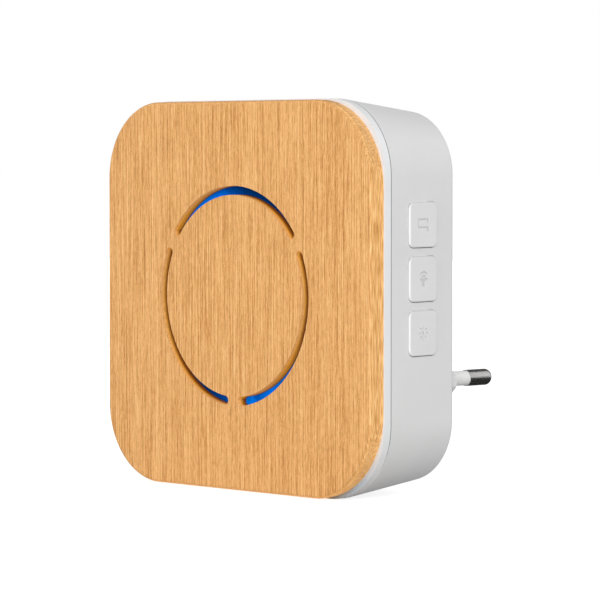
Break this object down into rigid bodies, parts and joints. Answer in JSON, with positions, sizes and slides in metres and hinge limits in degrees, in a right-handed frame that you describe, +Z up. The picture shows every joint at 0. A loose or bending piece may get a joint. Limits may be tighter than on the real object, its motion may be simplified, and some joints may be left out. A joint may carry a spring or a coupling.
{
  "type": "plug-in wireless doorbell chime",
  "caption": "Square plug-in chime with a wooden front, a light ring in arc slots, side keys and a white case that hangs on its mains plug.",
  "frame": {"origin": "middle of the plug boss's engagement face, halfway between the two pins", "axes": "+Z up as plugged into the wall, +Y along the pins into the socket, so the wooden front faces -Y and the keys are on the +X side"},
  "size_m": [0.095, 0.0558, 0.095],
  "materials": {
    "oiled_wood": "fine straight grain, oiled, satin",
    "white_plastic": "fine satin moulded plastic",
    "light_guide": "translucent guide lit blue from behind",
    "adhesive": "thin foam adhesive sheet",
    "white_board": "white lacquered glass-fibre board",
    "green_board": "green lacquered glass-fibre board",
    "lamp": "moulded lamp package",
    "screw_steel": "zinc-plated steel",
    "black_plastic": "black moulded plastic",
    "gold_pin": "gold-plated",
    "plug_pin": "nickel-plated, polished",
    "pin_sleeve": "light grey insulating sleeve",
    "contact_strip": "bare spring strip",
    "basket_metal": "black lacquered sheet steel",
    "pole_steel": "plated plate",
    "ferrite": "sintered, dark grey",
    "coil_copper": "enamelled copper winding",
    "cone_film": "black cone",
    "soft_rubber": "soft black rubber",
    "wire_red": "insulated wire",
    "wire_blue": "insulated wire",
    "capacitor_sleeve": "aluminium can in a dark sleeve",
    "yellow_film": "yellow potting box or tape",
    "resistor_body": "lacquered resistor body",
    "crystal_can": "pressed metal can"
  },
  "bodies": {
    "case": {"wood_front_panel": "oiled_wood", "panel_adhesive": "adhesive", "centre_adhesive_pad": "adhesive", "front_bezel": "white_plastic", "light_ring": "light_guide", "ring_board": "white_board", "ring_lamps": "lamp", "ring_board_screws": "screw_steel", "board_header": "black_plastic", "header_pins": "gold_pin", "main_board": "green_board", "board_screws": "screw_steel", "rear_shell": "white_plastic", "case_screws": "screw_steel", "neutral_pin": "plug_pin", "live_pin": "plug_pin", "neutral_pin_sleeve": "pin_sleeve", "live_pin_sleeve": "pin_sleeve", "neutral_contact": "contact_strip", "live_contact": "contact_strip", "pin_retainer": "white_plastic", "retainer_screws": "screw_steel", "melody_switch": "black_plastic", "volume_switch": "black_plastic", "light_switch": "black_plastic", "speaker_basket": "basket_metal", "speaker_top_plate": "pole_steel", "speaker_magnet": "ferrite", "speaker_yoke": "pole_steel", "speaker_surround": "soft_rubber", "speaker_gasket": "soft_rubber", "speaker_screws": "screw_steel", "speaker_terminal": "green_board", "speaker_connector": "lamp", "speaker_wires": "wire_red", "regulator_chip": "black_plastic", "processor_chip": "black_plastic", "memory_chip": "black_plastic", "amplifier_chip": "black_plastic", "bridge_rectifier": "black_plastic", "bulk_capacitors": "capacitor_sleeve", "output_capacitor": "capacitor_sleeve", "suppression_capacitor": "yellow_film", "fuse_resistor": "resistor_body", "transformer_core": "ferrite", "transformer_bobbin": "black_plastic", "transformer_winding": "yellow_film", "radio_board": "green_board", "radio_chip": "black_plastic", "crystal": "crystal_can", "aerial_wire": "wire_blue"},
    "melody_key": {"melody_button": "white_plastic", "melody_plunger": "black_plastic"},
    "volume_key": {"volume_button": "white_plastic", "volume_plunger": "black_plastic"},
    "light_key": {"light_button": "white_plastic", "light_plunger": "black_plastic"},
    "speaker_diaphragm": {"speaker_cone": "cone_film", "dust_cap": "cone_film", "voice_coil": "coil_copper"}
  },
  "joints": [
    {"name": "melody_press", "type": "slide", "parent": "case", "child": "melody_key", "axis": [-1, 0, 0], "range_m": [0, 0.0005], "stiffness_N_per_m": 2000, "springref_m": -0.00025},
    {"name": "volume_press", "type": "slide", "parent": "case", "child": "volume_key", "axis": [-1, 0, 0], "range_m": [0, 0.0005], "stiffness_N_per_m": 2000, "springref_m": -0.00025},
    {"name": "light_press", "type": "slide", "parent": "case", "child": "light_key", "axis": [-1, 0, 0], "range_m": [0, 0.0005], "stiffness_N_per_m": 2000, "springref_m": -0.00025},
    {"name": "diaphragm_stroke", "type": "slide", "parent": "case", "child": "speaker_diaphragm", "axis": [0, 1, 0], "range_m": [-0.0004, 0.0004], "stiffness_N_per_m": 1500}
  ]
}
